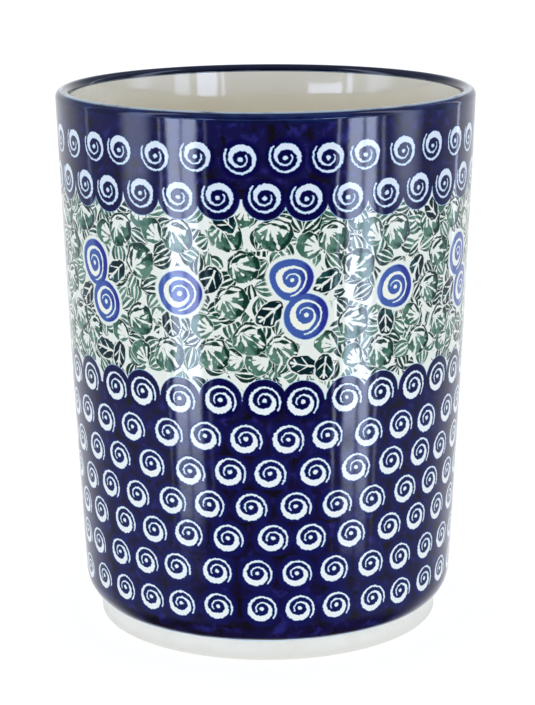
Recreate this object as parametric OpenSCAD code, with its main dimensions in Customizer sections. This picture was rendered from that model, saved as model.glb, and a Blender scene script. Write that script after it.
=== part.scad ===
// Stamped stoneware crock: one fired clay body that carries its glaze coats.
// Millimetres, +Z up, origin on the ground at the centre of the foot ring.
// The front of the decoration faces -Y.

/* [Body] */
// Height from the ground to the top of the lip
height = 172; // [140:1:220]
// Outside diameter just below the lip
rim_d = 133; // [110:1:160]
// Outside diameter where the wall meets the shoulder
waist_d = 120.2; // [104:0.2:150]
// How far the wall swells outside a straight cone at mid height
belly = 0.35; // [0:0.05:1.5]
// Thickness of the lip, which is fully rounded
lip_t = 4.6; // [3.6:0.1:7]
// Thickness of the wall above the floor, glaze included
wall_t = 5.6; // [4.6:0.1:8]
// Height at which the wall starts to thin towards the lip
thin_z = 155; // [130:1:162]
// Height of the inside floor above the ground
floor_z = 8.4; // [7:0.1:12]
// Radius of the curve between inside floor and wall
floor_fillet = 9; // [4:0.5:14]

/* [Foot] */
// Radius of the shoulder curve above the foot
shoulder_r = 10; // [6:0.5:14]
// Height of the bare clay foot below the glaze edge
foot_h = 6.3; // [4:0.1:9]
// Outside diameter of the foot where it stands
foot_d = 110.4; // [96:0.2:112]
// Width of the flat ring that touches the ground
ring_w = 5; // [3:0.5:9]
// How far the inside of the ring leans in from the flat up to the hollow
ring_slope = 0.6; // [0.2:0.1:2]
// Radius that eases the edges of the ring
ring_ease = 0.8; // [0.3:0.1:1.2]
// Depth of the hollow under the floor, inside the ring
hollow_h = 1.8; // [1:0.1:3]

/* [Glaze] */
// Thickness of every glaze coat
glaze_t = 0.4; // [0.3:0.05:0.8]
// How far the lip colour runs down the outside
lip_drop = 3; // [3:0.5:8]

/* [Decoration] */
// Height of the row of discs that edges the upper cobalt band
upper_row_z = 147.5; // [130:0.5:156]
// Height of the row of discs that edges the lower cobalt band
lower_row_z = 85; // [70:1:100]
// Radius of one stamped disc
disc_r = 6.7; // [6.6:0.1:7.2]
// Number of discs round the upper row
upper_discs = 32; // [31:1:34]
// Number of discs round the lower row
lower_discs = 31; // [30:1:33]

/* [Hidden] */
$fn = 96;

wall_points = 8;   // straight steps that follow the belly
arc_points = 10;   // steps on a quarter-turn arc
overshoot = 10;    // how far a cutting tool passes the surface it cuts

rim_r = rim_d / 2;
waist_r = waist_d / 2;
foot_r = foot_d / 2;
hollow_r = foot_r - ring_w - ring_slope;
lip_r = lip_t / 2;
lip_z = height - lip_r;
split_z = height - lip_drop;
shoulder_z = foot_h + shoulder_r * sin(60);
fillet_z = floor_z + floor_fillet;
lean = atan((rim_r - waist_r) / (lip_z - shoulder_z));

// Outside radius of the finished wall at height z.
function wall_radius(z) =
    let (t = (z - shoulder_z) / (lip_z - shoulder_z))
    waist_r + (rim_r - waist_r) * t + 4 * belly * t * (1 - t);

// Points on an arc about [x, z] from angle a to angle b.
function arc(x, z, r, a, b) =
    let (n = max(3, ceil(abs(b - a) / 90 * arc_points)))
    [for (i = [0 : n]) let (q = a + (b - a) * i / n) [x + r * cos(q), z + r * sin(q)]];

function reversed(points) = [for (i = [len(points) - 1 : -1 : 0]) points[i]];

// In the outlines below, t is the depth under the finished surface.

// Outside wall, from the foot edge up to the lip colour.
function outside(t) = concat(
    arc(waist_r - shoulder_r, shoulder_z, shoulder_r - t, -60, -lean),
    [for (i = [1 : wall_points])
        let (z = shoulder_z + (split_z - shoulder_z) * i / wall_points)
        [wall_radius(z) - t, z]]);

// Where the outside wall hands over to the lip colour, and the lip to the inside.
function lip_start(t) = [[wall_radius(split_z) - t, split_z]];
function lip_end(t) = [[rim_r - lip_t + t, lip_z]];

// The rounded lip, from the outside over the top to the inside.
function lip(t) = arc(rim_r - lip_r, lip_z, lip_r - t, -lean, 180);

// Inside wall and floor, down to the middle of the floor.
function inside(t) = concat(
    [[wall_radius(thin_z) - wall_t + t, thin_z]],
    arc(waist_r - wall_t - floor_fillet, fillet_z, floor_fillet + t, 0, -90),
    [[0, floor_z - t]]);

// The hollow, the standing ring and its eased edges.
function foot() = concat(
    [[0, hollow_h + glaze_t], [hollow_r, hollow_h + glaze_t]],
    arc(foot_r - ring_w + ring_ease, ring_ease, ring_ease, 180, 270),
    arc(foot_r - ring_ease, ring_ease, ring_ease, 270, 360));

// A coat of glaze between its finished outline and the clay below it.
module coat(finished, clay) {
    rotate_extrude() polygon(concat(finished, reversed(clay)));
}

// The outside coat, from the foot edge up to the lip colour.
module outside_coat() {
    coat(outside(0), outside(glaze_t));
}

// A row of discs pressed square to the wall, the first one at the front.
module disc_row(z, count) {
    for (i = [0 : count - 1])
        rotate([0, 0, -90 + i * 360 / count])
            translate([wall_radius(z), 0, z])
                rotate([0, 90, 0])
                    cylinder(r = disc_r, h = 2 * overshoot, center = true);
}

// The space the upper cobalt covers: its scalloped row and everything above.
module upper_zone() {
    translate([0, 0, upper_row_z]) cylinder(r = rim_r + overshoot, h = height);
    disc_row(upper_row_z, upper_discs);
}

// The space the lower cobalt covers: its scalloped row and everything below.
module lower_zone() {
    translate([0, 0, lower_row_z - height]) cylinder(r = rim_r + overshoot, h = height);
    disc_row(lower_row_z, lower_discs);
}

module clay_body() {
    color("#e9e6da")
        rotate_extrude()
            polygon(concat(foot(), outside(glaze_t), lip(glaze_t), inside(glaze_t)));
}

module inner_glaze() {
    color("#cdc9b8")
        coat(concat(lip_end(0), inside(0)), concat(lip_end(glaze_t), inside(glaze_t)));
}

module lip_glaze() {
    color("#24386f")
        coat(concat(lip_start(0), lip(0)), concat(lip_start(glaze_t), lip(glaze_t)));
}

module upper_cobalt_band() {
    color("#1d1c5e")
        intersection() {
            outside_coat();
            upper_zone();
        }
}

module leaf_band() {
    color("#93ab97")
        difference() {
            outside_coat();
            upper_zone();
            lower_zone();
        }
}

module lower_cobalt_band() {
    color("#1d1c5e")
        intersection() {
            outside_coat();
            lower_zone();
        }
}

module underside_glaze() {
    color("#d8d4c6")
        translate([0, 0, hollow_h]) cylinder(r = hollow_r, h = glaze_t);
}

clay_body();
inner_glaze();
lip_glaze();
upper_cobalt_band();
leaf_band();
lower_cobalt_band();
underside_glaze();
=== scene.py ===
"""Looks of a tall stamped stoneware crock: bare clay, liner glaze and a painted outside.

Metres, +Z up, the front of the decoration faces -Y. The painting is worked out from
each point's own place on the pot, so it runs on unbroken from one piece to the next.
"""
import math

import bpy
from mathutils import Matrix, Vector, noise


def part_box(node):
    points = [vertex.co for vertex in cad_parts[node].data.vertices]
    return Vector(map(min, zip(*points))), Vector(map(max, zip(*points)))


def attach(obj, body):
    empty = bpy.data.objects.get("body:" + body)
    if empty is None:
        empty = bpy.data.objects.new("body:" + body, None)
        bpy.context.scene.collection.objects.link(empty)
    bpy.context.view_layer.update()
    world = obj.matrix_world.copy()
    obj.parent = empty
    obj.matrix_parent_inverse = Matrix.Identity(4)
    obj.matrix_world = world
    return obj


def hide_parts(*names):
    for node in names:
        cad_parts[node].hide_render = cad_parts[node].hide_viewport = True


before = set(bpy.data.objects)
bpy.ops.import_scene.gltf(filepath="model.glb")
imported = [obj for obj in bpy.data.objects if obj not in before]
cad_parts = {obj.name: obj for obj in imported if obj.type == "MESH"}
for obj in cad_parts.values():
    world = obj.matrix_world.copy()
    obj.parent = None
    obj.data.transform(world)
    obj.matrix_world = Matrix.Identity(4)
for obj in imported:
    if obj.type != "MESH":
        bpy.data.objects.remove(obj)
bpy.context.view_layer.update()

MM = 0.001
TURN = 2 * math.pi

# ---------------------------------------------------------------- sizes of the pot, in mm


def node_span(name, axis):
    """The lowest and highest value of a CAD node along one axis, in mm."""
    low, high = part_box(name)
    return low[axis] / MM, high[axis] / MM


FOOT_EDGE_Z, LOWER_TOP_Z = node_span("lower_cobalt_band", 2)
UPPER_LOW_Z, SPLIT_Z = node_span("upper_cobalt_band", 2)
HEIGHT = node_span("lip_glaze", 2)[1]
HOLLOW_Z, HOLLOW_TOP_Z = node_span("underside_glaze", 2)
HOLLOW_R = node_span("underside_glaze", 0)[1]
GLAZE = HOLLOW_TOP_Z - HOLLOW_Z
FLOOR_Z = node_span("inner_glaze", 2)[0] + GLAZE

RIM_R = 66.5
WAIST_R = 60.1
BELLY = 0.35             # how far the wall swells outside a straight cone at mid height
LIP_T = 4.6
WALL_T = 5.6
THIN_Z = 150.0           # height from which the wall thins towards the lip
THIN_RATE = 0.00236      # mm of thinning for each square mm of height above it
FLOOR_FILLET = 9.0
SHOULDER_R = 10.0
FOOT_R = 55.2
RING_W = 5.0
RING_EASE = 0.8

LIP_R = LIP_T / 2
LIP_Z = HEIGHT - LIP_R
SHOULDER_Z = FOOT_EDGE_Z + SHOULDER_R * math.sin(math.radians(60))
LEAN = math.atan((RIM_R - WAIST_R) / (LIP_Z - SHOULDER_Z))
FILLET_Z = FLOOR_Z + FLOOR_FILLET
DISC_R = 6.7
UPPER_DISCS = 32
LOWER_DISCS = 31
UPPER_ROW_Z = UPPER_LOW_Z + DISC_R
LOWER_ROW_Z = LOWER_TOP_Z - DISC_R

SLOW_WOBBLE = 0.10       # mm that the wall strays from a true circle over a long stretch
QUICK_WOBBLE = 0.035     # and over a short one
EDGE_WAVE = 0.35         # mm that the lower glaze edge wanders up and down

AROUND = 288             # steps round the pot
WALL_STEP = 2.5          # height of one step on the wall, in mm
SHOULDER_STEP = 1.2      # height of one step on the shoulder, in mm
FLOOR_STEP = 4.0         # width of one step on the inside floor, in mm
ARC_STEP = 6.0           # degrees of one step on a rounded edge


# ---------------------------------------------------------------- shape


def wall_radius(z):
    """Outside radius of the finished wall."""
    t = (z - SHOULDER_Z) / (LIP_Z - SHOULDER_Z)
    return WAIST_R + (RIM_R - WAIST_R) * t + 4 * BELLY * t * (1 - t)


def outside_radius(z, depth=0.0):
    """Outside radius, shoulder included, at a depth under the finished surface."""
    if z >= SHOULDER_Z:
        return wall_radius(z) - depth
    drop = SHOULDER_Z - z
    return WAIST_R - SHOULDER_R + math.sqrt(max(0.0, (SHOULDER_R - depth) ** 2 - drop ** 2))


def arc(x, z, r, start, end):
    """Points on an arc about (x, z), angles in degrees."""
    steps = max(3, round(abs(end - start) / ARC_STEP))
    angles = [math.radians(start + (end - start) * i / steps) for i in range(steps + 1)]
    return [(x + r * math.cos(a), z + r * math.sin(a)) for a in angles]


def spread(low, high, step):
    """Evenly spaced numbers from low to high, about step apart."""
    count = max(1, round(abs(high - low) / step))
    return [low + (high - low) * i / count for i in range(count + 1)]


def lip_outline(depth):
    """The rounded lip at a depth under its surface, from the outside over to the inside."""
    return arc(RIM_R - LIP_R, LIP_Z, LIP_R - depth, -math.degrees(LEAN), 180)


def inside_radius(z):
    """Inside radius of the finished wall, which thins towards the lip from THIN_Z up."""
    top_r = RIM_R - LIP_T - THIN_RATE * (LIP_Z - THIN_Z) ** 2
    low_r = WAIST_R - WALL_T
    straight = low_r + (top_r - low_r) * (z - FILLET_Z) / (LIP_Z - FILLET_Z)
    return straight + THIN_RATE * max(0.0, z - THIN_Z) ** 2


def inside_outline(depth):
    """The inside wall and floor at a depth under their surface, down to the middle."""
    wall = [(inside_radius(z) + depth, z) for z in spread(LIP_Z, FILLET_Z, WALL_STEP)]
    fillet = arc(WAIST_R - WALL_T - FLOOR_FILLET, FILLET_Z, FLOOR_FILLET + depth, 0, -90)
    floor = [(r, FLOOR_Z - depth) for r in spread(fillet[-1][0], 1.5, FLOOR_STEP)]
    return wall + fillet[1:] + floor[1:] + [(0.0, FLOOR_Z - depth)]


def hand_thrown(point):
    """How far the potter's hand leaves a point of the wall off the true circle, in mm."""
    slow = noise.noise(point / 38.0)
    quick = noise.noise(Vector((point.x / 22.0, point.y / 22.0, point.z / 7.0)))
    return SLOW_WOBBLE * slow + QUICK_WOBBLE * quick - SLOW_WOBBLE


def place(angle, r, z):
    """A point of the pot from angle, radius and height in mm, as metres. Angle 0 is the front."""
    flat = Vector((r * math.sin(angle), -r * math.cos(angle), z))
    if r > 1.0 and z > 0.5:
        fade = min(1.0, z / 12.0)
        flat.xy *= 1 + fade * hand_thrown(flat) / r
    return flat * MM


def finished(name, vertices, faces, material, replaces):
    """A smooth mesh piece that stands for CAD nodes and takes a material."""
    mesh = bpy.data.meshes.new(name)
    mesh.from_pydata(vertices, [], faces)
    mesh.validate()
    mesh.polygons.foreach_set("use_smooth", [True] * len(mesh.polygons))
    mesh.set_sharp_from_angle(angle=math.radians(35))
    mesh.update()
    piece = bpy.data.objects.new(name, mesh)
    bpy.context.scene.collection.objects.link(piece)
    piece.data.materials.append(material)
    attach(piece, "root")
    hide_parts(*replaces)
    return piece


def lathe(name, outline, material, replaces):
    """Turns a closed outline of (radius, height) points into a solid."""
    rings, vertices, faces = [], [], []
    for r, z in outline:
        if r <= 0.0:
            rings.append([len(vertices)] * AROUND)
            vertices.append(Vector((0, 0, z)) * MM)
            continue
        rings.append(list(range(len(vertices), len(vertices) + AROUND)))
        vertices += [place(TURN * i / AROUND, r, z) for i in range(AROUND)]
    for row, ring in enumerate(rings):
        above = rings[(row + 1) % len(rings)]
        for i in range(AROUND):
            j = (i + 1) % AROUND
            corners = [ring[i], ring[j], above[j], above[i]]
            face = list(dict.fromkeys(corners))
            if len(face) > 2:
                faces.append(face)
    return finished(name, vertices, faces, material, replaces)


def band(name, low_edge, high_edge, material, replaces):
    """A glaze coat on the outside wall. low_edge and high_edge give its height at an angle."""
    rows = max(4, round((high_edge(0) - low_edge(0)) / WALL_STEP))
    loop = []
    for i in range(AROUND):
        angle = TURN * i / AROUND
        low, high = low_edge(angle), high_edge(angle)
        heights = [low + (high - low) * k / rows for k in range(rows + 1)]
        outer = [(outside_radius(z), z) for z in heights]
        inner = [(outside_radius(z, GLAZE), z) for z in reversed(heights)]
        loop.append([place(angle, r, z) for r, z in outer + inner])
    steps = len(loop[0])
    vertices = [point for column in loop for point in column]
    faces = []
    for i in range(AROUND):
        j = (i + 1) % AROUND
        for k in range(steps):
            m = (k + 1) % steps
            faces.append([i * steps + k, j * steps + k, j * steps + m, i * steps + m])
    return finished(name, vertices, faces, material, replaces)


def scallop(row_z, discs, side):
    """The edge left by a row of discs, below the row for side -1 and above it for side 1."""
    def edge(angle):
        cell = TURN / discs
        off = (angle + cell / 2) % cell - cell / 2
        reach = math.sqrt(max(0.0, DISC_R ** 2 - (off * wall_radius(row_z)) ** 2))
        return row_z + side * reach
    return edge


def level(z):
    """An edge at one height all round."""
    return lambda angle: z


def foot_edge(angle):
    """The glaze edge above the bare foot, which the brush left slightly wavy."""
    wave = noise.noise(Vector((math.cos(angle) * 2.6, math.sin(angle) * 2.6, 4.0)))
    return FOOT_EDGE_Z + EDGE_WAVE + EDGE_WAVE * wave


# ---------------------------------------------------------------- fields: numbers over a surface


class Field:
    """A number or colour that varies over a surface: one output socket of a material."""

    def __init__(self, socket):
        self.socket = socket

    def __add__(self, other):
        return maths("ADD", self, other)

    def __radd__(self, other):
        return maths("ADD", other, self)

    def __sub__(self, other):
        return maths("SUBTRACT", self, other)

    def __rsub__(self, other):
        return maths("SUBTRACT", other, self)

    def __mul__(self, other):
        return maths("MULTIPLY", self, other)

    def __rmul__(self, other):
        return maths("MULTIPLY", other, self)

    def __truediv__(self, other):
        return maths("DIVIDE", self, other)

    def __abs__(self):
        return maths("ABSOLUTE", self)


def feed(socket, value):
    """Links a field to a socket, or sets the socket to a plain value."""
    if isinstance(value, Field):
        socket.id_data.links.new(value.socket, socket)
    else:
        socket.default_value = value


def tree_of(*values):
    """The node tree that the fields among some values belong to."""
    return next(v for v in values if isinstance(v, Field)).socket.id_data


def maths(operation, *values):
    """The result of a Math node."""
    made = tree_of(*values).nodes.new("ShaderNodeMath")
    made.operation = operation
    for socket, value in zip(made.inputs, values):
        feed(socket, value)
    return Field(made.outputs[0])


def vector_maths(operation, *values):
    """The result of a Vector Math node."""
    made = tree_of(*values).nodes.new("ShaderNodeVectorMath")
    made.operation = operation
    for socket, value in zip(made.inputs, values):
        feed(socket, value)
    return Field(made.outputs["Value" if operation in ("DOT_PRODUCT", "LENGTH") else "Vector"])


def combine(x, y, z=0.0):
    """A vector field from three numbers or fields."""
    made = tree_of(x, y, z).nodes.new("ShaderNodeCombineXYZ")
    for socket, value in zip(made.inputs, (x, y, z)):
        feed(socket, value)
    return Field(made.outputs[0])


def separate(vector):
    """The three parts of a vector field."""
    made = tree_of(vector).nodes.new("ShaderNodeSeparateXYZ")
    feed(made.inputs[0], vector)
    return [Field(socket) for socket in made.outputs]


def least(*values):
    """The smallest of some numbers or fields."""
    result = values[0]
    for value in values[1:]:
        result = maths("MINIMUM", result, value)
    return result


def most(*values):
    """The largest of some numbers or fields."""
    result = values[0]
    for value in values[1:]:
        result = maths("MAXIMUM", result, value)
    return result


def length(u, v):
    """How far a point (u, v) is from the origin."""
    return maths("SQRT", maths("MULTIPLY_ADD", u, u, v * v))


def ease(value, start, end):
    """0 at start, 1 at end, with soft ends. start may be the larger of the two."""
    made = tree_of(value, start, end).nodes.new("ShaderNodeMapRange")
    made.interpolation_type = "SMOOTHSTEP"
    feed(made.inputs["Value"], value)
    feed(made.inputs["From Min"], start)
    feed(made.inputs["From Max"], end)
    return Field(made.outputs[0])


# Which sockets of a Mix node are its factor, its two inputs and its result, by kind.
MIX_SOCKETS = {"VECTOR": (0, 4, 5, 1), "RGBA": (0, 6, 7, 2)}


def mix(kind, a, b, share):
    """a where share is 0, b where it is 1."""
    made = tree_of(share, a, b).nodes.new("ShaderNodeMix")
    made.data_type = kind
    factor, first, second, result = MIX_SOCKETS[kind]
    feed(made.inputs[factor], share)
    feed(made.inputs[first], a)
    feed(made.inputs[second], b)
    return Field(made.outputs[result])


def paint(base, over, mask):
    """The base colour, covered by another one where the mask is 1."""
    return mix("RGBA", base, over, mask)


def curve(value, points):
    """A smooth curve through given points, for value from 0 to 1."""
    made = tree_of(value).nodes.new("ShaderNodeFloatCurve")
    line = made.mapping.curves[0]
    line.points[0].location = points[0]
    line.points[1].location = points[-1]
    for x, y in points[1:-1]:
        line.points.new(x, y)
    made.mapping.update()
    feed(made.inputs["Value"], value)
    return Field(made.outputs[0])


def clouds(place_mm, size, detail=2.0, roughness=0.5):
    """Soft noise from 0 to 1 with blobs about size mm across."""
    made = tree_of(place_mm).nodes.new("ShaderNodeTexNoise")
    feed(made.inputs["Vector"], place_mm)
    made.inputs["Scale"].default_value = 1 / size
    made.inputs["Detail"].default_value = detail
    made.inputs["Roughness"].default_value = roughness
    return Field(made.outputs[0])


def dice(*cell):
    """Three random numbers from 0 to 1 for a cell, the same each time for the same cell."""
    made = tree_of(*cell).nodes.new("ShaderNodeTexWhiteNoise")
    made.noise_dimensions = "3D"
    feed(made.inputs["Vector"], combine(*cell))
    split = made.id_data.nodes.new("ShaderNodeSeparateColor")
    made.id_data.links.new(made.outputs["Color"], split.inputs[0])
    return [Field(socket) for socket in split.outputs]


def rgb(red, green, blue):
    """A colour on a 0 to 255 screen scale as linear light, with alpha."""
    parts = [c / 255 for c in (red, green, blue)]
    return tuple(c / 12.92 if c <= 0.04045 else ((c + 0.055) / 1.055) ** 2.4 for c in parts) + (1.0,)


# ---------------------------------------------------------------- where a point lies on the pot


class Surface:
    """A new material, and where each of its points lies on the pot."""

    def __init__(self, name):
        self.material = bpy.data.materials.new(name)
        self.material.use_nodes = True
        self.tree = self.material.node_tree
        self.shader = self.tree.nodes["Principled BSDF"]
        where = self.tree.nodes.new("ShaderNodeTexCoord")
        self.point = vector_maths("MULTIPLY", Field(where.outputs["Object"]), (1 / MM,) * 3)
        x, y, self.z = separate(self.point)
        self.angle = maths("ARCTAN2", x, 0.0 - y)
        self.radius = length(x, y)

    def finish(self, colour, roughness, height):
        """Sets the shader. height is in mm and raises the surface by bump."""
        feed(self.shader.inputs["Base Color"], colour)
        feed(self.shader.inputs["Roughness"], roughness)
        bump = self.tree.nodes.new("ShaderNodeBump")
        bump.inputs["Strength"].default_value = 1.0
        bump.inputs["Distance"].default_value = MM
        feed(bump.inputs["Height"], height)
        self.tree.links.new(bump.outputs[0], self.shader.inputs["Normal"])
        return self.material


# ---------------------------------------------------------------- the stamps

# One long stroke that winds out clockwise from the middle dot, thick where the sponge
# was pressed hardest. (share of two turns, mm) for its distance out and its width.
STROKE_OUT = [(0.0, 2.0), (0.10, 2.05), (0.19, 2.3), (0.25, 2.5), (0.31, 2.85), (0.375, 3.4),
              (0.435, 3.75), (0.50, 4.0), (0.56, 4.1), (0.625, 4.3), (0.685, 4.5), (0.74, 4.45),
              (0.80, 4.6), (0.84, 4.95), (0.875, 5.3), (1.0, 5.6)]
STROKE_WIDE = [(0.0, 0.38), (0.10, 0.52), (0.19, 0.6), (0.25, 0.85), (0.31, 1.25), (0.375, 1.8),
               (0.435, 2.1), (0.50, 1.8), (0.56, 1.2), (0.625, 0.88), (0.685, 0.68), (0.74, 0.62),
               (0.80, 0.64), (0.84, 0.58), (0.875, 0.45), (1.0, 0.4)]
STROKE_SCALE = 8.0       # mm at the top of both curves
STROKE_START = math.radians(43)
STROKE_END = 1.75        # turns
STROKE_TRIM = 0.04       # mm taken off each side of the stroke
PAST_END = 9.0           # mm, a distance that is outside any stroke
DOT_R = 0.68

STAMP_SWAY = 0.8         # mm that a stamp may stand off its even place round the pot
STAMP_LIFT = 0.4         # mm that a stamp may stand above or below its row
STAMP_TILT = 0.45        # radians between the most and the least turned stamp
DISC_EDGE_R = 6.55       # mm, painted radius of the discs of a border row
PAINT_SEED = 3.0


def spiral(u, v, turn, ragged):
    """Distance in mm outside the stroke of a spiral stamp (negative inside it)."""
    out = length(u, v) + ragged
    wound = maths("FRACT", (STROKE_START + turn - maths("ARCTAN2", v, u)) / TURN + 2.0)

    def stroke(turns):
        share = turns / 2.0
        middle = curve(share, [(x, y / STROKE_SCALE) for x, y in STROKE_OUT])
        wide = curve(share, [(x, y / STROKE_SCALE) for x, y in STROKE_WIDE])
        return abs(out - middle * STROKE_SCALE) - wide * (STROKE_SCALE / 2)

    ended = ease(wound, STROKE_END - 1.02, STROKE_END - 0.98)
    second = stroke(wound + 1.0) + PAST_END * ended
    return least(stroke(wound) + STROKE_TRIM, second + STROKE_TRIM, out - DOT_R)


def stamp_row(surface, row_z, count, phase):
    """The stamp nearest to each point of a row: its own u, v in mm, and three dice."""
    cell = surface.angle * count * (1 / TURN) - phase / 360 * count + 0.5
    index = maths("FLOORED_MODULO", maths("FLOOR", cell), count)
    chance = dice(index, row_z, PAINT_SEED)
    pitch = surface.radius * TURN / count
    u = (maths("FRACT", cell) - 0.5) * pitch - (chance[0] - 0.5) * (2 * STAMP_SWAY)
    v = surface.z - row_z - (chance[1] - 0.5) * (2 * STAMP_LIFT)
    return u, v, chance


def scalloped(surface, row, ragged):
    """Distance in mm outside the nearest disc of a row of overlapping discs."""
    row_z, count, phase = row
    cell = surface.angle * (count / TURN) - phase / 360 * count + 0.5
    pitch = surface.radius * (TURN / count)
    nearest = None
    for step in (-1, 0, 1):
        index = maths("FLOORED_MODULO", maths("FLOOR", cell) + step, count)
        chance = dice(index, row_z, PAINT_SEED)
        sway = (chance[0] - 0.5) * (2 * STAMP_SWAY)
        lift = (chance[1] - 0.5) * (2 * STAMP_LIFT)
        u = (maths("FRACT", cell) - (0.5 + step)) * pitch - sway
        out = length(u, surface.z - row_z - lift)
        nearest = out if nearest is None else least(nearest, out)
    return nearest + ragged - DISC_EDGE_R


# ---------------------------------------------------------------- cobalt ground

# Height in mm, stamps round the pot, and angle in degrees of the stamp nearest the front.
UPPER_ROWS = [(146.7, 32, -0.7), (158.7, 32, 4.4)]
LOWER_ROWS = [(19.1, 31, -2.5), (30.7, 31, -3.6), (41.8, 30, 1.0), (52.2, 30, -4.5),
              (62.7, 30, 1.3), (73.8, 31, -5.9), (85.4, 31, -1.4)]
UPPER_BORDER = UPPER_ROWS[0]
LOWER_BORDER = LOWER_ROWS[-1]

# The comparison that a point of a cobalt band passes against the height of its border row.
ABOVE = "GREATER_THAN"
BELOW = "LESS_THAN"
FAR_INSIDE = 200.0       # mm, a distance that is inside any border row

# Heights in mm between which the pot changes on the way down.
GROUND_BROWNS = (95.0, 60.0)
# Below these heights the ground round the stamps turns a brighter blue: painted light standing in for
# the white floor's reflection.
PAINTED_FLOOR_LIGHT_Z = (82.0, 76.0)
STAMPS_SHRINK = (70.0, 20.0)

DEEP_NAVY = rgb(5, 2, 68)
NAVY = rgb(20, 19, 72)
LOW_NAVY = rgb(21, 16, 58)
FLOOR_LIT_BLUE = rgb(20, 21, 88)
BLUE_SPECK = rgb(38, 37, 112)
BROWN_BLACK = rgb(18, 13, 26)
# The lower stamps' white is painted brighter than the upper stamps' white, as painted floor light.
FLOOR_LIT_STAMP_WHITE = rgb(246, 252, 255)
UPPER_WHITE = rgb(226, 238, 255)
BLEED_BLUE = rgb(150, 195, 235)
FRINGE_BLUE = rgb(200, 222, 246)
CREAM = rgb(240, 246, 241)


def cobalt_ground(surface):
    """Sponged cobalt: navy, browner low down, with near-black pools and brighter blue specks."""
    pools = clouds(surface.point, 5.5, detail=3.0, roughness=0.6)
    specks = clouds(surface.point, 3.6, detail=2.0, roughness=0.5)
    navy = paint(NAVY, LOW_NAVY, ease(surface.z, *GROUND_BROWNS))
    colour = paint(navy, BROWN_BLACK, ease(pools, 0.47, 0.66))
    return paint(colour, BLUE_SPECK, ease(specks, 0.48, 0.70) * ease(pools, 0.60, 0.44))


def pick_by_height(z, rows, part):
    """One value of the row that a height falls in, rows given from low to high."""
    value = rows[0][part]
    for lower, upper in zip(rows, rows[1:]):
        above = maths("GREATER_THAN", z, (lower[0] + upper[0]) / 2)
        value = maths("MULTIPLY_ADD", above, upper[part] - lower[part], value)
    return value


def sponge_edge(surface):
    """How far the torn edge of a sponge stamp strays, in mm."""
    return (clouds(surface.point, 0.8, detail=1.0) - 0.5) * 0.8


def glaze_gloss(surface):
    """Roughness and fine relief of the clear glaze over everything."""
    mist = clouds(surface.point, 9.0, detail=3.0)
    peel = clouds(surface.point, 1.6, detail=1.0)
    slow = clouds(surface.point, 15.0, detail=1.0)
    roughness = maths("MULTIPLY_ADD", mist, 0.07, 0.035)
    return roughness, peel * 0.006 + slow * 0.10


def row_stamps(surface, rows, turn, rough_edge):
    """The stamps of all rows: distance outside their strokes, and from their middles."""
    row_z = pick_by_height(surface.z, rows, 0)
    count = pick_by_height(surface.z, rows, 1)
    phase = pick_by_height(surface.z, rows, 2)
    u, v, chance = stamp_row(surface, row_z, count, phase)
    tilt = (chance[2] - 0.5) * STAMP_TILT + turn
    shrink = ease(surface.z, *STAMPS_SHRINK) * 0.07
    return spiral(u * (shrink + 1.01), v * (shrink + 1.09), tilt, rough_edge), length(u, v)


def cobalt_material(name, rows, border, side, turn, white):
    """Cobalt with rows of spirals, on one side of a scalloped border row, cream past it."""
    surface = Surface(name)
    rough_edge = sponge_edge(surface)
    stroke, out = row_stamps(surface, rows, turn, rough_edge)

    # Painted floor light: round the lower stamps the ground turns a brighter blue.
    blue = paint(DEEP_NAVY, FLOOR_LIT_BLUE, ease(surface.z, *PAINTED_FLOOR_LIGHT_Z))
    colour = paint(cobalt_ground(surface), blue, ease(out, 6.8, 5.4) * 0.85)
    colour = paint(colour, BLEED_BLUE, ease(stroke, 0.16, 0.0))
    colour = paint(colour, white, ease(stroke, 0.02, -0.14))

    beyond = scalloped(surface, border, rough_edge * 0.4)
    beyond = beyond - maths(side, surface.z, border[0]) * FAR_INSIDE
    colour = paint(colour, BLEED_BLUE, ease(beyond, -0.05, 0.12))
    colour = paint(colour, CREAM, ease(beyond, 0.1, 0.3))

    runs = (clouds(surface.point, 9.0, detail=2.0) - 0.5) * 0.8
    fringe = ease(surface.z + runs, FOOT_EDGE_Z + 1.15, FOOT_EDGE_Z + 0.85)
    colour = paint(colour, FRINGE_BLUE, fringe)
    roughness, relief = glaze_gloss(surface)
    pressed = ease(stroke, 0.3, -0.3) * -0.02
    return surface.finish(colour, roughness, relief + pressed)


# ---------------------------------------------------------------- leaves and berries

SECTORS = 6                # times the leaf pattern repeats round the pot
UNROLL_R = 64.0            # radius at which the leaf band is laid out flat, in mm
NO_WRAP = 9999.0           # half width of a span that never repeats

# Each print: degrees from the front, height in mm, turn in degrees, half size in mm.
BIG_LEAVES = [
    (-10.2, 135.9, -12, 5.0), (2.1, 136.6, -18, 5.2), (17.5, 134.7, 5, 5.0), (-6.2, 126.4, 38, 5.0),
    (-9.6, 115.8, 22, 5.1), (-4.2, 104.7, 18, 5.1), (4.1, 101.5, 8, 4.8), (24.6, 126.4, 88, 5.3),
    (36.6, 135.0, 0, 5.4), (23.8, 108.5, 32, 5.0), (32.6, 98.3, 4, 5.1), (46.0, 99.9, 2, 5.2),
]
SMALL_LEAVES = [
    (10.9, 133.1, -62, 4.1), (-9.1, 98.3, -40, 3.9), (-2.2, 97.0, -10, 3.9), (16.1, 103.4, -70, 4.0),
    (28.6, 136.0, -85, 4.2), (23.5, 98.3, -90, 3.9), (42.6, 108.5, -60, 4.0), (30.6, 110.0, 150, 3.4),
    (-5.5, 141.5, 30, 3.6), (24.5, 139.5, 40, 3.6),
]
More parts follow.
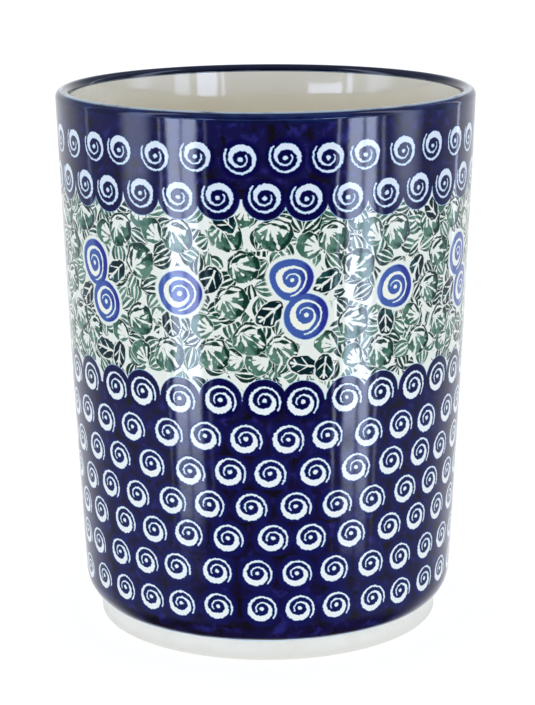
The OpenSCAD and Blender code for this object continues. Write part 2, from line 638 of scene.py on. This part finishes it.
DARK_LEAVES = [
    (16.1, 121.9, 42, 4.5), (0.9, 112.5, 40, 4.6), (9.5, 96.7, -12, 4.5), (15.5, 95.2, 82, 4.2),
    (44.6, 122.2, 58, 4.4), (33.9, 107.7, 94, 4.4), (49.5, 140.2, -40, 4.2),
]
BERRY_R = 6.7
BERRY_TURN = math.pi - 0.95
BERRIES = [(6.6, 122.8, 0, BERRY_R), (10.65, 111.6, 0, BERRY_R), (36.5, 118.0, 0, BERRY_R)]

# Veins of a leaf print, from the stem: angle in degrees, length, half width at the stem
# and at the end. These, and the stem's own place, are in half sizes of the print.
BIG_STEM = (-0.42, 0.50)
BIG_VEINS = [(-15, 0.98, 0.04, 0.16), (-36, 0.62, 0.06, 0.05), (-52, 1.52, 0.07, 0.045),
             (-82, 0.92, 0.07, 0.05), (-122, 0.78, 0.06, 0.05)]
SMALL_STEM = (0.62, 0.58)
SMALL_VEINS = [(188, 1.10, 0.05, 0.12), (212, 1.18, 0.06, 0.16), (238, 1.10, 0.05, 0.15),
               (264, 0.98, 0.05, 0.10)]

# A dark leaf's width, the pitch of its side veins and their half width, in half sizes.
DARK_WIDTH = 0.70
DARK_PITCH = 0.80
DARK_RIB = 0.045

FRAGMENT_SIZE = 6.2        # mm across one crowded print
STROKE_HALF = 3.9          # half the length of one print in mm
STROKES = [(0.92, 0.52), (2.45, 0.62)]   # mm from the midrib and half width, at mid length

LEAF_PALE = rgb(102, 142, 126)
LEAF_GREEN = rgb(60, 106, 90)
LEAF_DEEP = rgb(16, 54, 46)
TEAL_DEEP = rgb(6, 34, 42)
TEAL = rgb(30, 80, 80)
BERRY_BLUE = rgb(68, 96, 172)
BERRY_DEEP = rgb(44, 50, 146)
BERRY_IVORY = rgb(252, 252, 240)


class LeafBand:
    """The leaf band's surface, and the noises and the flat layout that its prints share."""

    def __init__(self, name):
        self.surface = Surface(name)
        point = self.surface.point
        self.rough_edge = sponge_edge(self.surface)
        drift = clouds(point, 16.0, detail=1.0)
        drift_two = clouds(vector_maths("ADD", point, (40.0, 10.0, 70.0)), 16.0, detail=1.0)
        along = self.surface.angle * UNROLL_R
        self.flat = combine(along + (drift - 0.5) * 3.0, self.surface.z + (drift_two - 0.5) * 3.0)
        self.ragged = self.rough_edge * 0.10 + (clouds(point, 2.4, detail=1.0) - 0.5) * 0.30
        self.patchy = clouds(point, 1.7, detail=2.0, roughness=0.6)
        self.wash = clouds(point, 4.5, detail=2.0)

    def nearest_print(self, prints):
        """A point's u, v (in half sizes) in the nearest of a list of prints round the pot."""
        best = None
        for degrees, z, turn, size in prints:
            here = self.print_place(math.radians(degrees) * UNROLL_R, z, turn, size)
            reach = vector_maths("DOT_PRODUCT", here, here)
            if best is None:
                best, closest = here, reach
                continue
            closer = maths("LESS_THAN", reach, closest)
            best = mix("VECTOR", best, here, closer)
            closest = least(closest, reach)
        return separate(best)[:2]

    def print_place(self, middle, z, turn, size):
        """A point's place in one print and its repeats in the other sectors."""
        sector = TURN * UNROLL_R / SECTORS
        near = vector_maths("WRAP", self.flat, (middle + sector / 2, NO_WRAP, NO_WRAP),
                            (middle - sector / 2, -NO_WRAP, -NO_WRAP))
        local = self.surface.tree.nodes.new("ShaderNodeMapping")
        local.vector_type = "TEXTURE"
        feed(local.inputs["Vector"], near)
        local.inputs["Location"].default_value = (middle, z, 0)
        local.inputs["Rotation"].default_value = (0, 0, math.radians(turn))
        local.inputs["Scale"].default_value = (size, size, size)
        return Field(local.outputs[0])


def veins(u, v, stem, lines, ragged):
    """Distance outside the nearest of the veins that spread from a stem."""
    nearest = None
    for degrees, reach, start, end in lines:
        angle = math.radians(degrees)
        along = (u - stem[0]) * math.cos(angle) + (v - stem[1]) * math.sin(angle)
        off = abs((v - stem[1]) * math.cos(angle) - (u - stem[0]) * math.sin(angle))
        half = along * ((end - start) / reach) + start
        vein = most(off - half + ragged, along - reach, 0.0 - along)
        nearest = vein if nearest is None else least(nearest, vein)
    return nearest


def big_leaf(u, v, ragged):
    """A round leaf print: distance outside its edge, and outside its veins."""
    out = length(u, v)
    edge = out + ragged - 0.98
    arch = most(abs(out - 0.78) - 0.04 + ragged, 0.46 - v)
    return edge, least(veins(u, v, BIG_STEM, BIG_VEINS, ragged), arch)


def brush_marks(surface, u, v, stem):
    """Noise drawn out into streaks that fan away from the stem of a leaf print."""
    across, down = u - stem[0], stem[1] - v
    fan = maths("ARCTAN2", across, down)
    return clouds(combine(fan * 3.6, length(across, down) * 1.3, surface.z * 0.11), 1.0, detail=1.0)


def small_leaf(u, v, ragged):
    """A small print, thick along one side and cut by broad veins."""
    edge = length(u, v * 1.1) + ragged - 0.95
    return edge, veins(u, v, SMALL_STEM, SMALL_VEINS, ragged)


def feather_leaf(u, v, ragged):
    """An oval leaf print with a midrib and side veins, laid along u."""
    side = abs(v)
    edge = (length(u, v / DARK_WIDTH) - 1.0) * DARK_WIDTH + ragged
    rib = maths("FRACT", (u + side * 1.1) / DARK_PITCH)
    ribs = abs(rib - 0.5) * DARK_PITCH * 0.72 - DARK_RIB + side * 0.04
    midrib = side - DARK_RIB * (1.3 - u * 0.4)
    return edge, most(least(ribs, midrib) + ragged * 0.6, u - 0.86)


def fragments(surface, ragged):
    """Crowded strokes of half-printed leaves that fill the ground: cover, and a shade."""
    cells = surface.tree.nodes.new("ShaderNodeTexVoronoi")
    cells.inputs["Scale"].default_value = 1 / FRAGMENT_SIZE
    feed(cells.inputs["Vector"], surface.point)
    off = vector_maths("SUBTRACT", surface.point, Field(cells.outputs["Position"]))
    across, forward, up = separate(off)
    along = across * maths("COSINE", surface.angle) + forward * maths("SINE", surface.angle)
    chance = separate(Field(cells.outputs["Color"]))
    swing = chance[0] * TURN
    cosine, sine = maths("COSINE", swing), maths("SINE", swing)
    u = along * cosine + up * sine
    v = up * cosine - along * sine
    share = u / STROKE_HALF
    bow = most(1.0 - share * share, 0.02)
    out = abs(v) / bow
    inner = abs(out - STROKES[0][0]) - STROKES[0][1]
    outer = abs(out - STROKES[1][0]) - STROKES[1][1]
    cover = ease(least(inner, outer) * bow + ragged * 2.0, 0.14, -0.10)
    return cover, share * 0.3 + chance[1] + ease(out, 1.4, 1.8) * 0.25


def paint_fragments(coat, colour, berry_out):
    """Crowded fragments, with clear ground round the berries."""
    cover, tint = fragments(coat.surface, coat.ragged)
    clear = ease(berry_out, BERRY_R + 0.8, BERRY_R + 1.6)
    tone = paint(LEAF_PALE, LEAF_GREEN, ease(coat.wash + tint * 0.3, 0.40, 0.70))
    tone = paint(tone, LEAF_DEEP, ease(tint + coat.wash, 0.85, 1.35))
    return paint(colour, tone, cover * ease(coat.patchy, 0.28, 0.36) * clear)


def paint_small_leaves(coat, colour):
    """Small prints, more white than green."""
    u, v = coat.nearest_print(SMALL_LEAVES)
    edge, vein = small_leaf(u, v, coat.ragged)
    cover = ease(edge, 0.03, -0.03) * ease(vein, -0.01, 0.05)
    tone = paint(LEAF_GREEN, LEAF_PALE, ease(coat.wash, 0.60, 0.44) * 0.6)
    tone = paint(tone, LEAF_DEEP, ease(v * 0.5 - u * 0.2 + coat.wash, 0.5, 1.0))
    colour = paint(colour, CREAM, ease(edge, 0.07, 0.02))
    return paint(colour, tone, cover * ease(coat.patchy, 0.28, 0.36))


def paint_big_leaves(coat, colour):
    """Big round brushy prints, darkest along the right edge and on the lobe at the top."""
    u, v = coat.nearest_print(BIG_LEAVES)
    edge, vein = big_leaf(u, v, coat.ragged)
    streaks = brush_marks(coat.surface, u, v, BIG_STEM)
    cover = ease(edge, 0.03, -0.03) * ease(vein, -0.01, 0.04) * ease(streaks, 0.30, 0.36)
    right = ease(edge, -0.36, -0.14) * ease(u, -0.25, 0.3)
    top = ease(v, 0.1, 0.5) * 0.8
    uneven = (coat.wash - 0.5) * 1.2 + (streaks - 0.5) * 2.4
    tone = paint(LEAF_GREEN, LEAF_PALE, ease(coat.wash + u * 0.1, 0.60, 0.40) * 0.8)
    tone = paint(tone, LEAF_DEEP, ease(most(right, top) + uneven, 0.0, 0.8))
    colour = paint(colour, CREAM, ease(edge, 0.04, 0.0))
    return paint(colour, tone, cover * ease(coat.patchy, 0.26, 0.33))


def paint_dark_leaves(coat, colour):
    """Dark teal leaves beside the berries and along the lower border."""
    u, v = coat.nearest_print(DARK_LEAVES)
    edge, vein = feather_leaf(u, v, coat.ragged)
    vein = most(vein, edge + 0.12)
    cover = ease(edge, 0.03, -0.03) * ease(vein, -0.01, 0.04)
    colour = paint(colour, CREAM, ease(edge, 0.12, 0.04))
    return paint(colour, paint(TEAL_DEEP, TEAL, ease(coat.wash, 0.5, 0.68)), cover)


def paint_berries(coat, colour, u, v, out):
    """Berries, each with the same spiral stamp as the rows."""
    colour = paint(colour, CREAM, ease(out, BERRY_R + 0.9, BERRY_R + 0.5))
    colour = paint(colour, BLEED_BLUE, ease(out, BERRY_R + 0.18, BERRY_R - 0.02))
    rim = ease(out, 5.0, 6.6) * 0.3
    shade = ease(u * 0.12 + (coat.wash - 0.5) * 2.0 + rim, 0.15, 0.8)
    berry = paint(BERRY_BLUE, BERRY_DEEP, shade)
    colour = paint(colour, berry, ease(out, BERRY_R, BERRY_R - 0.2))
    stroke = spiral(u, v, BERRY_TURN, coat.rough_edge * 0.6)
    colour = paint(colour, BLEED_BLUE, ease(stroke, 0.12, 0.0))
    return paint(colour, BERRY_IVORY, ease(stroke, 0.02, -0.18))


def paint_borders(coat, colour):
    """The cobalt discs of the border rows, which reach into the leaf band."""
    blue = paint(DEEP_NAVY, cobalt_ground(coat.surface), 0.2)
    for row in (UPPER_BORDER, LOWER_BORDER):
        beyond = scalloped(coat.surface, row, coat.rough_edge * 0.4)
        colour = paint(colour, BLEED_BLUE, ease(beyond, 0.3, 0.1))
        colour = paint(colour, blue, ease(beyond, 0.12, -0.05))
    return colour


def leaf_band_material():
    """Cream ground with leaf prints and blue spiral berries, between two scalloped borders."""
    coat = LeafBand("leaf_paint")
    berry_u, berry_v = [part * BERRY_R for part in coat.nearest_print(BERRIES)]
    berry_out = length(berry_u, berry_v) + coat.rough_edge * 0.3
    colour = paint_fragments(coat, CREAM, berry_out)
    colour = paint_small_leaves(coat, colour)
    colour = paint_big_leaves(coat, colour)
    colour = paint_dark_leaves(coat, colour)
    colour = paint_berries(coat, colour, berry_u, berry_v, berry_out)
    colour = paint_borders(coat, colour)
    roughness, relief = glaze_gloss(coat.surface)
    return coat.surface.finish(colour, roughness, relief)


# ---------------------------------------------------------------- plain glazes and clay

LIP_BLUE = rgb(9, 14, 58)
LIP_THIN = rgb(20, 38, 92)
LIP_PAINTED_SHADE = rgb(6, 9, 34)
CREST_THIN_GLAZE_AND_SHEEN = rgb(170, 190, 204)
LIP_END = rgb(120, 136, 150)
LINER = rgb(228, 221, 203)
LINER_DUSK = rgb(220, 212, 193)
LINER_PAINTED_LIGHT = rgb(246, 245, 238)
IRON = rgb(150, 136, 112)
CLAY = rgb(253, 253, 248)
CLAY_WARM = rgb(248, 247, 240)
CLAY_PAINTED_SHADE = rgb(238, 237, 230)
SAND = rgb(196, 184, 160)

LINER_LIGHT_HEIGHTS = (154.0, 172.0)   # heights in mm between which painted light makes the liner paler towards the lip
FOOT_SHADE_HEIGHTS = (0.4, 4.5)         # heights in mm between which the painted shade at the foot's bottom gives way to the clean clay


def lip_material():
    """Cobalt brushed over the lip, thin and paler where it breaks over the crest; the pale crest is
    also a painted reflection of the pale inside, and painted shade darkens the inner half of the lip.
    """
    surface = Surface("lip_paint")
    streaks = clouds(vector_maths("MULTIPLY", surface.point, (0.35, 0.35, 1.6)), 3.0, detail=3.0)
    colour = paint(LIP_BLUE, LIP_THIN, ease(streaks, 0.40, 0.70))
    middle = RIM_R - LIP_R
    # Painted shade: the inner half of the lip is darkened.
    colour = paint(colour, LIP_PAINTED_SHADE, ease(surface.radius, middle + 0.2, middle - 0.8) * 0.85)
    # A pale line on the crest: thin glaze, and a painted reflection of the pale inside.
    crest = ease(surface.radius, middle + 1.35, middle + 0.75)
    crest = crest * ease(surface.radius, middle - 0.5, middle + 0.1)
    colour = paint(colour, CREST_THIN_GLAZE_AND_SHEEN, crest * ease(streaks, 0.2, 0.5) * 0.85)
    inner_edge = ease(surface.radius, RIM_R - LIP_T + 0.3, RIM_R - LIP_T + 0.1)
    inner_edge = inner_edge * ease(surface.z, LIP_Z + 0.5 + (streaks - 0.5) * 0.8, LIP_Z + 0.1)
    colour = paint(colour, LIP_END, inner_edge)
    roughness, relief = glaze_gloss(surface)
    return surface.finish(colour, roughness, relief + streaks * 0.02)


def liner_material():
    """Clear glaze over grey-cream stoneware, with faint iron specks, and painted light that makes it
    paler towards the lip.
    """
    surface = Surface("liner_glaze")
    cloudy = clouds(surface.point, 30.0, detail=3.0)
    specks = clouds(surface.point, 1.1, detail=1.0)
    rings = clouds(vector_maths("MULTIPLY", surface.point, (0.1, 0.1, 1.0)), 6.0, detail=2.0)
    colour = paint(LINER, LINER_DUSK, ease(cloudy, 0.35, 0.65))
    # Painted light: the liner turns paler towards the lip.
    colour = paint(colour, LINER_PAINTED_LIGHT, ease(surface.z, *LINER_LIGHT_HEIGHTS) * 0.85)
    colour = paint(colour, IRON, ease(specks, 0.80, 0.88) * 0.4)
    roughness, relief = glaze_gloss(surface)
    return surface.finish(colour, roughness, relief + rings * 0.06)


def clay_material():
    """Bare fired clay: warm white, dry and slightly sandy, darkened towards the floor by painted
    shade.
    """
    surface = Surface("bare_clay")
    grain = clouds(surface.point, 0.55, detail=3.0, roughness=0.65)
    tone = clouds(surface.point, 7.0, detail=2.0)
    colour = paint(CLAY, CLAY_WARM, ease(tone, 0.35, 0.7))
    # Painted shade: the foot turns darker towards the floor.
    colour = paint(CLAY_PAINTED_SHADE, colour, ease(surface.z, *FOOT_SHADE_HEIGHTS))
    colour = paint(colour, SAND, ease(grain, 0.72, 0.84) * 0.4)
    roughness = maths("MULTIPLY_ADD", grain, 0.2, 0.62)
    return surface.finish(colour, roughness, grain * 0.05)


# ---------------------------------------------------------------- pieces


def body_outline():
    """Closed outline of the fired clay, from the hollow round the foot and over the lip."""
    hollow = [(0.0, HOLLOW_TOP_Z), (HOLLOW_R * 0.5, HOLLOW_TOP_Z), (HOLLOW_R, HOLLOW_TOP_Z)]
    foot = arc(FOOT_R - RING_W + RING_EASE, RING_EASE, RING_EASE, 180, 270)
    foot += arc(FOOT_R - RING_EASE, RING_EASE, RING_EASE, 270, 360)[1:]
    coat_start = outside_radius(FOOT_EDGE_Z, GLAZE)
    bare = [(FOOT_R + (coat_start - FOOT_R) * t, RING_EASE + (FOOT_EDGE_Z - RING_EASE) * t)
            for t in (0.2, 0.4, 0.6, 0.8)]
    heights = spread(FOOT_EDGE_Z, SHOULDER_Z, SHOULDER_STEP)
    heights += spread(SHOULDER_Z, SPLIT_Z, WALL_STEP)[1:]
    wall = [(outside_radius(z, GLAZE), z) for z in heights]
    return hollow + foot + bare + wall + lip_outline(GLAZE) + inside_outline(GLAZE)[1:]


def build_plain_pieces():
    """The clay body and the three coats of one colour."""
    lathe("fired_clay_body", body_outline(), clay_material(), ["clay_body"])

    liner = inside_outline(0.0) + inside_outline(GLAZE)[::-1]
    lathe("liner_glaze_coat", liner, liner_material(), ["inner_glaze"])

    start = (wall_radius(SPLIT_Z), SPLIT_Z)
    start_inner = (wall_radius(SPLIT_Z) - GLAZE, SPLIT_Z)
    lip = [start] + lip_outline(0.0) + lip_outline(GLAZE)[::-1] + [start_inner]
    lathe("lip_glaze_coat", lip, lip_material(), ["lip_glaze"])

    under = [(0.0, HOLLOW_Z), (HOLLOW_R * 0.5, HOLLOW_Z), (HOLLOW_R, HOLLOW_Z),
             (HOLLOW_R, HOLLOW_TOP_Z), (0.0, HOLLOW_TOP_Z)]
    lathe("underside_glaze_coat", under, liner_material(), ["underside_glaze"])


def build_painted_bands():
    """The three stamped coats of the outside."""
    upper_edge = scallop(UPPER_ROW_Z, UPPER_DISCS, -1)
    lower_edge = scallop(LOWER_ROW_Z, LOWER_DISCS, 1)
    upper = cobalt_material("upper_cobalt_paint", UPPER_ROWS, UPPER_BORDER, ABOVE, 0, UPPER_WHITE)
    # The lower band's stamps take the brighter white of the painted floor light.
    lower = cobalt_material("lower_cobalt_paint", LOWER_ROWS, LOWER_BORDER, BELOW, math.pi,
                            FLOOR_LIT_STAMP_WHITE)
    leaves = leaf_band_material()
    band("upper_spiral_band", upper_edge, level(SPLIT_Z), upper,
         ["upper_cobalt_band"])
    band("leaf_print_band", lower_edge, upper_edge, leaves, ["leaf_band"])
    band("lower_spiral_band", foot_edge, lower_edge, lower,
         ["lower_cobalt_band"])


# ---------------------------------------------------------------- camera, light and floor

CAMERA_BACK = 0.6952     # metres in front of the pot's axis
CAMERA_UP = 0.2536
CAMERA_PITCH = 13.62     # degrees below level
CAMERA_LENS = 112.09     # mm, on the default 36 mm sensor
CAMERA_SHIFT = 0.0009    # share of the frame that the pot stands left of the middle
CAMERA_ROLL = -0.3       # degrees that the camera leans to one side

DIM_FRONT = (0.03, 0.03, 0.04, 1)
DIM_SIDES = (0.27, 0.30, 0.40, 1)
WHITE_WALLS = (0.95, 0.97, 1.0, 1)
WINDOW_TINT = (0.74, 0.84, 1.14)
SOFT_LEVEL = (0.53, 0.56, 0.58, 1)
SOFT_ABOVE = (1.12, 1.15, 1.18, 1)
SEEN_WHITE = (1.0, 1.0, 1.0, 1)
FLOOR_REACH = 3.0        # metres from the pot to each edge of the floor
FLOOR_TONE = 0.25        # the floor glows instead of catching shadows
FLOOR_GLOW = 0.80

# Where the mirrored room fades in, by degrees of rise above the horizon or by the y of
# a direction, which is -1 to the front and 1 to the back.
ROOM_RISE = (-52.0, -32.0)
SIDES_Y = (-0.86, -0.35)
BEHIND_Y = (0.25, 0.95)
BEHIND_RISE = (30.0, 8.0)
SKY_RISE = (5.0, 50.0)
PANE_TOP_FADE = 2.0      # most degrees over which a pane fades out at its top

# Panes of light round the pot: bearing from the front in degrees (from, to, softness),
# rise above the horizon in degrees (from, to, softness), and brightness.
PANES = [
    (-55.8, -45.4, 2.6, -24.2, -3, 6, 9.0),    # left window
    (-47.0, -36.8, 2.6, -24.2, -3, 6, 8.4),
    (-59.8, -57.8, 0.8, -24.0, -3, 6, 3.4),    # its frame
    (-34.2, -31.4, 1.2, -24.0, -3, 6, 1.8),
    (43.6, 54.4, 2.8, -24.2, -3, 6, 8.4),      # right window
    (53.0, 63.0, 3.2, -24.2, -3, 6, 8.6),
    (38.2, 40.4, 0.8, -24.2, -3, 6, 5.6),      # its frame
    (64.4, 67.4, 1.2, -24.2, -3, 6, 3.2),
    (-88.0, -62.0, 9.0, -15.0, 60, 4, 2.6),    # far side walls
    (69.0, 96.0, 12.0, -15.0, 60, 4, 2.8),
    (-115.0, -111.0, 1.6, -15.5, 60, 5, 1.0),
    (128.0, 132.0, 1.4, -15.5, 60, 5, 2.4),
    (-80.0, 80.0, 12.0, -1.0, 9.0, 1.0, 0.9),  # pale wall that only the inside mirrors
    (29.5, 43.5, 1.4, 3.0, 9.5, 0.6, 7.2),     # what the inside mirrors of the windows
    (47.0, 58.5, 1.6, 3.0, 9.5, 0.6, 4.2),
    (25.2, 28.0, 0.6, 3.0, 9.5, 0.6, 5.0),
    (-49.6, -26.0, 1.2, 3.0, 6.8, 0.6, 7.6),
    (-56.0, -51.6, 0.8, 3.0, 8.4, 0.6, 6.0),
]


def add_camera():
    """The camera in front of the pot, looking slightly down at it."""
    lens = bpy.data.cameras.new("view")
    lens.lens = CAMERA_LENS
    lens.shift_x = CAMERA_SHIFT
    camera = bpy.data.objects.new("view", lens)
    camera.location = (0, -CAMERA_BACK, CAMERA_UP)
    camera.rotation_euler = (math.radians(90 - CAMERA_PITCH), 0, 0)
    camera.rotation_euler.rotate_axis("Z", math.radians(CAMERA_ROLL))
    bpy.context.scene.collection.objects.link(camera)
    bpy.context.scene.camera = camera


def add_floor():
    """A plain pale floor, bright enough to read as a white sweep."""
    reach = FLOOR_REACH
    corners = [(-reach, -reach, 0), (reach, -reach, 0), (reach, reach, 0), (-reach, reach, 0)]
    mesh = bpy.data.meshes.new("floor")
    mesh.from_pydata(corners, [], [(0, 1, 2, 3)])
    floor = bpy.data.objects.new("floor", mesh)
    bpy.context.scene.collection.objects.link(floor)
    material = bpy.data.materials.new("pale_floor")
    material.use_nodes = True
    shader = material.node_tree.nodes["Principled BSDF"]
    shader.inputs["Base Color"].default_value = (FLOOR_TONE, FLOOR_TONE, FLOOR_TONE, 1)
    shader.inputs["Roughness"].default_value = 0.9
    shader.inputs["Emission Color"].default_value = (1, 1, 1, 1)
    shader.inputs["Emission Strength"].default_value = FLOOR_GLOW
    mesh.materials.append(material)
    floor.visible_glossy = False


def between(value, low, high, soft):
    """1 between low and high, fading to 0 over a softness inside each end."""
    return ease(value, low, low + soft) * ease(value, high, high - soft)


def reflected_room(x, y, rise):
    """What the glaze mirrors: a room, dark in front, white behind, with windows."""
    bearing = maths("DEGREES", maths("ARCTAN2", x, 0.0 - y))
    low = ease(rise, *ROOM_RISE)
    sides = ease(y, *SIDES_Y) * low
    behind = ease(y, *BEHIND_Y) * ease(rise, *BEHIND_RISE) * low
    room = paint(paint(DIM_FRONT, DIM_SIDES, sides), WHITE_WALLS, behind)
    panes = None
    for left, right, soft, bottom, top, fade, brightness in PANES:
        pane = between(bearing, left, right, soft) * ease(rise, bottom, bottom + fade)
        pane = pane * ease(rise, top, top - min(fade, PANE_TOP_FADE)) * brightness
        panes = pane if panes is None else panes + pane
    panes = vector_maths("MULTIPLY", WINDOW_TINT, combine(panes, panes, panes))
    return vector_maths("ADD", room, panes)


def add_world():
    """White to the eye, a room with windows to the glaze, and a soft sky for the rest."""
    world = bpy.data.worlds.new("studio")
    bpy.context.scene.world = world
    world.use_nodes = True
    tree = world.node_tree
    where = tree.nodes.new("ShaderNodeTexCoord")
    x, y, z = separate(Field(where.outputs["Generated"]))
    rise = maths("DEGREES", maths("ARCSINE", z))
    sky = paint(SOFT_LEVEL, SOFT_ABOVE, ease(rise, *SKY_RISE))
    path = tree.nodes.new("ShaderNodeLightPath")
    light = paint(sky, reflected_room(x, y, rise), Field(path.outputs["Is Glossy Ray"]))
    seen = paint(light, SEEN_WHITE, Field(path.outputs["Is Camera Ray"]))
    feed(tree.nodes["Background"].inputs["Color"], seen)


add_camera()
add_world()
add_floor()
bpy.context.scene.view_settings.view_transform = "Standard"
build_plain_pieces()
build_painted_bands()
